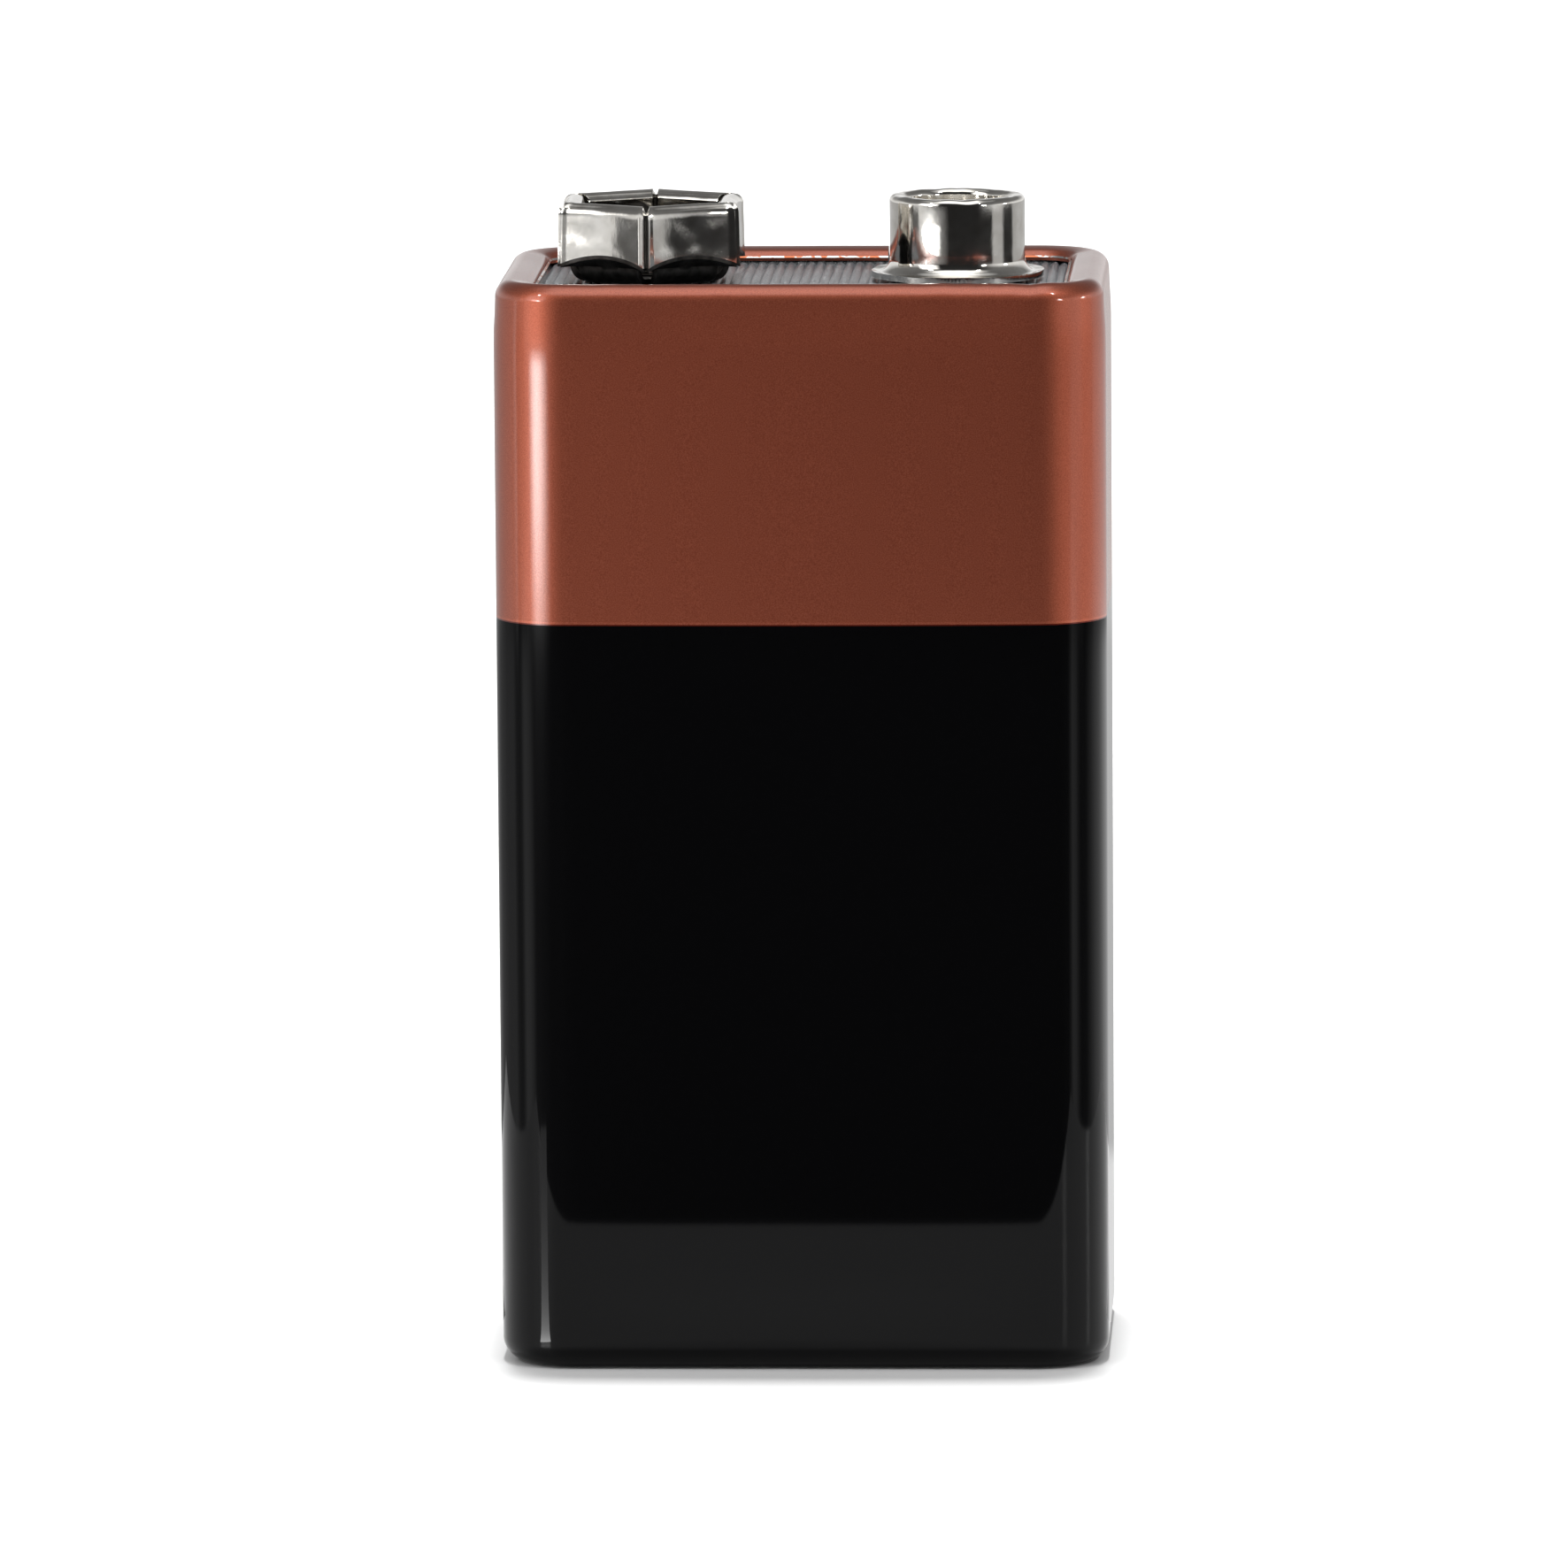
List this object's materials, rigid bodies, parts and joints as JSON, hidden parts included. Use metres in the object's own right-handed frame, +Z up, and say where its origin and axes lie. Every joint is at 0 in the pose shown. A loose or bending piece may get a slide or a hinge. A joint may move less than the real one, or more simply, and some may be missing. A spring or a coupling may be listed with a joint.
{
  "type": "nine volt battery",
  "caption": "Rectangular nine volt battery in a rolled metal jacket, with a hexagonal snap socket and a round snap stud over its ribbed top plate.",
  "frame": {"origin": "middle of the underside, on the surface that the battery stands on", "axes": "+X across the broad front face from the hexagonal negative snap to the round positive stud, front face towards -Y, +Z up to the terminals"},
  "size_m": [0.0252, 0.0164, 0.048],
  "materials": {
    "jacket_lacquer": "gloss black lacquer below, satin copper lacquer on the top third",
    "terminal_board": "ribbed, with a fine woven grain",
    "nickel_plate": "bright nickel plate on pressed steel",
    "rivet_metal": "nickel plated",
    "strip_steel": "bright rolled strip",
    "spacer_plastic": "plain moulded",
    "liner_film": "plain film",
    "base_board": "fine matt grain",
    "cell_can": "nickel plated steel can"
  },
  "bodies": {
    "root": {"jacket": "jacket_lacquer", "terminal_plate": "terminal_board", "negative_snap": "nickel_plate", "positive_snap": "nickel_plate", "negative_rivet": "rivet_metal", "positive_rivet": "rivet_metal", "negative_lead": "strip_steel", "positive_lead": "strip_steel", "spacer": "spacer_plastic", "liner": "liner_film", "base_plate": "base_board", "cell_1": "cell_can", "cell_2": "cell_can", "cell_3": "cell_can", "cell_4": "cell_can", "cell_5": "cell_can", "cell_6": "cell_can", "top_strap_1": "strip_steel", "top_strap_2": "strip_steel", "bottom_strap_1": "strip_steel", "bottom_strap_2": "strip_steel", "bottom_strap_3": "strip_steel"}
  },
  "joints": []
}
